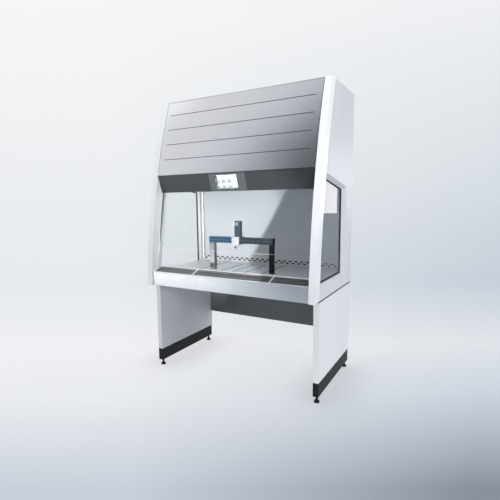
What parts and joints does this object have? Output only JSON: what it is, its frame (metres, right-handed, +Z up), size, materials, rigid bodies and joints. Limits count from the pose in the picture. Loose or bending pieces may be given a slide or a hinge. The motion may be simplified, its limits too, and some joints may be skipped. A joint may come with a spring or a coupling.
{
  "type": "safety cabinet",
  "caption": "Floor-standing class II safety cabinet: curved hinged cover, sliding glass sash, glazed sides, slotted air grilles, fans and filters, and a dosing gantry on the work surface.",
  "frame": {"origin": "on the floor, at the centre of the footprint", "axes": "+X to the right as the user faces the sash, +Y to the back, +Z up"},
  "size_m": [1.5, 0.884, 2.336],
  "materials": {
    "white_enamel": "satin white powder coat",
    "post_white": "white powder-coated extrusion",
    "gable_white": "white melamine-faced board, steel-edged",
    "plinth_black": "black matt moulding",
    "panel_dark": "dark grey laminate",
    "frame_black": "black powder coat",
    "foot_black": "black zinc and rubber",
    "stainless": "brushed stainless steel",
    "apron_steel": "fine brushed stainless, light",
    "rim_white": "white enamel",
    "cover_silver": "silver metallic lacquer",
    "fascia_dark": "anthracite lacquer",
    "bezel_glass": "dark glossy front",
    "screen_white": "lit touch display",
    "clear_glass": "laminated safety glass",
    "grille_black": "black perforated sheet",
    "drive_aluminium": "anodised",
    "belt_rubber": "toothed belt",
    "filter_body": "filter frame and pleats",
    "galvanised": "galvanised sheet",
    "lamp_white": "lamp diffuser",
    "motor_black": "black motor casing",
    "beam_blue": "blue and slate anodised beam",
    "column_steel": "polished column",
    "column_black": "black anodised column",
    "tower_blue": "blue lacquered drive tower",
    "head_white": "white moulded head",
    "nozzle_steel": "polished nozzle",
    "screw_steel": "steel screws"
  },
  "bodies": {
    "cabinet": {"stand_gable_left": "gable_white", "stand_gable_right": "gable_white", "plinths": "plinth_black", "stand_rear_panel": "panel_dark", "stand_top_frame": "frame_black", "side_panel_left": "white_enamel", "side_panel_right": "white_enamel", "front_post_left": "post_white", "front_post_right": "post_white", "side_windows": "clear_glass", "inner_liners": "stainless", "rear_panel": "white_enamel", "rear_panel_screws": "screw_steel", "top_panel": "white_enamel", "exhaust_collar": "galvanised", "base_panel": "galvanised", "back_wall": "stainless", "sump_pan": "stainless", "worktop_left": "stainless", "worktop_right": "stainless", "deck_plate": "stainless", "grille_frame": "rim_white", "grille_left": "grille_black", "grille_centre": "grille_black", "grille_right": "grille_black", "apron": "apron_steel", "cover_pivot_pins": "screw_steel", "control_fascia": "fascia_dark", "display_bezel": "bezel_glass", "display_screen": "screen_white", "sash_guides": "drive_aluminium", "sash_belts": "belt_rubber", "sash_motor": "motor_black", "diffuser_plate": "stainless", "filter_shelf": "drive_aluminium", "supply_filter": "filter_body", "plenum_box": "galvanised", "supply_fan_housing": "galvanised", "exhaust_filter": "filter_body", "exhaust_fan_housing": "galvanised", "lamp": "lamp_white", "gantry_column_left": "column_steel", "gantry_column_right": "column_black", "gantry_beam": "beam_blue"},
    "foot_fl": {"foot_front_left": "foot_black"},
    "foot_fr": {"foot_front_right": "foot_black"},
    "foot_bl": {"foot_back_left": "foot_black"},
    "foot_br": {"foot_back_right": "foot_black"},
    "cover": {"front_cover": "cover_silver"},
    "sash": {"sash_glass": "clear_glass", "sash_carrier": "drive_aluminium"},
    "drive_shaft": {"sash_drive_shaft": "screw_steel"},
    "idlers": {"sash_idlers": "drive_aluminium"},
    "supply_rotor": {"supply_impeller": "drive_aluminium"},
    "exhaust_rotor": {"exhaust_impeller": "drive_aluminium"},
    "carriage": {"gantry_carriage": "tower_blue", "gantry_tower": "tower_blue", "gantry_tower_cap": "head_white"},
    "head": {"dosing_head": "head_white", "dosing_nozzle": "nozzle_steel"}
  },
  "joints": [
    {"name": "foot_fl_screw", "type": "slide", "parent": "cabinet", "child": "foot_fl", "axis": [0, 0, 1], "range_m": [-0.02, 0]},
    {"name": "foot_fr_screw", "type": "slide", "parent": "cabinet", "child": "foot_fr", "axis": [0, 0, 1], "range_m": [-0.02, 0]},
    {"name": "foot_bl_screw", "type": "slide", "parent": "cabinet", "child": "foot_bl", "axis": [0, 0, 1], "range_m": [-0.02, 0]},
    {"name": "foot_br_screw", "type": "slide", "parent": "cabinet", "child": "foot_br", "axis": [0, 0, 1], "range_m": [-0.02, 0]},
    {"name": "cover_hinge", "type": "hinge", "parent": "cabinet", "child": "cover", "pos_m": [0, -0.13416, 2.286], "axis": [-1, 0, 0], "range_deg": [0, 75]},
    {"name": "sash_slide", "type": "slide", "parent": "cabinet", "child": "sash", "axis": [0, 0.1736, 0.9848], "range_m": [-0.166, 0.35]},
    {"name": "drive_shaft_spin", "type": "hinge", "parent": "cabinet", "child": "drive_shaft", "pos_m": [0, -0.10685, 2.12503], "axis": [1, 0, 0], "range_deg": [-1560, 750]},
    {"name": "idler_spin", "type": "hinge", "parent": "cabinet", "child": "idlers", "pos_m": [0, -0.20878, 1.54695], "axis": [1, 0, 0], "range_deg": [-1560, 750]},
    {"name": "supply_fan_spin", "type": "hinge", "parent": "cabinet", "child": "supply_rotor", "pos_m": [-0.33, 0.12, 2], "axis": [0, 0, 1], "continuous": true},
    {"name": "exhaust_fan_spin", "type": "hinge", "parent": "cabinet", "child": "exhaust_rotor", "pos_m": [0.35, 0.12, 2.1], "axis": [0, 0, 1], "continuous": true},
    {"name": "carriage_slide", "type": "slide", "parent": "cabinet", "child": "carriage", "axis": [1, 0, 0], "range_m": [-0.19, 0.24]},
    {"name": "head_lift", "type": "slide", "parent": "carriage", "child": "head", "axis": [0, 0, 1], "range_m": [-0.15, 0.06]}
  ],
  "couplings": [
    {"joint": "drive_shaft_spin", "follows": "sash_slide", "rad_per_m": -76.923},
    {"joint": "idler_spin", "follows": "sash_slide", "rad_per_m": -76.923}
  ]
}
